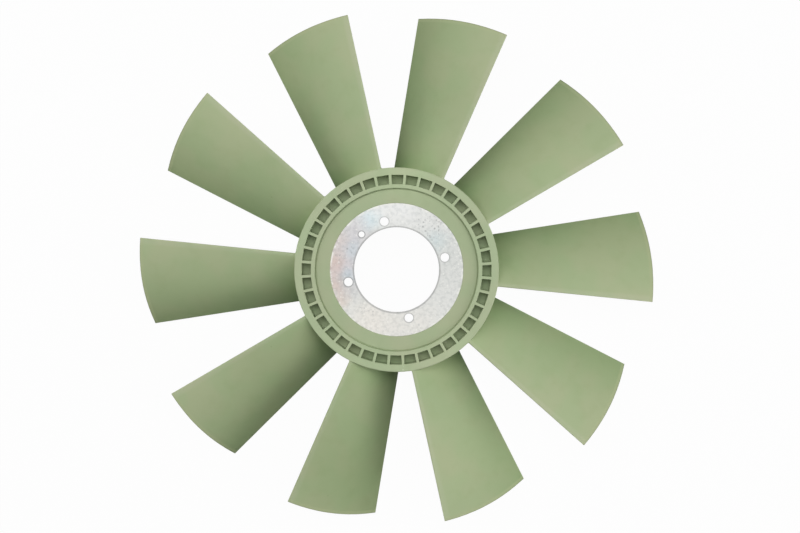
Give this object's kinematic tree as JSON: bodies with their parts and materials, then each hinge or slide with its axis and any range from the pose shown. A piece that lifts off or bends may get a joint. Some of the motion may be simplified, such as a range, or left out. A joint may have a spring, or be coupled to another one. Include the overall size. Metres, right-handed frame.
{
  "type": "axial fan impeller",
  "caption": "Axial fan impeller: swept, cambered blades and a pocketed hub ring in one plastic moulding, over a zinc plated steel insert plate that bolts to the fan drive.",
  "frame": {"origin": "centre of the pilot bore in the insert plate's back face, which is the mounting face", "axes": "+Z along the fan axis towards the inlet side, +X along the middle of one blade, +Y towards the top of the picture"},
  "size_m": [0.62, 0.6176, 0.054],
  "materials": {
    "moulding": "sage green glass-filled nylon, satin moulded surface",
    "insert": "bright zinc plate, mottled"
  },
  "bodies": {
    "root": {"fan_moulding": "moulding", "steel_insert": "insert"}
  },
  "joints": []
}
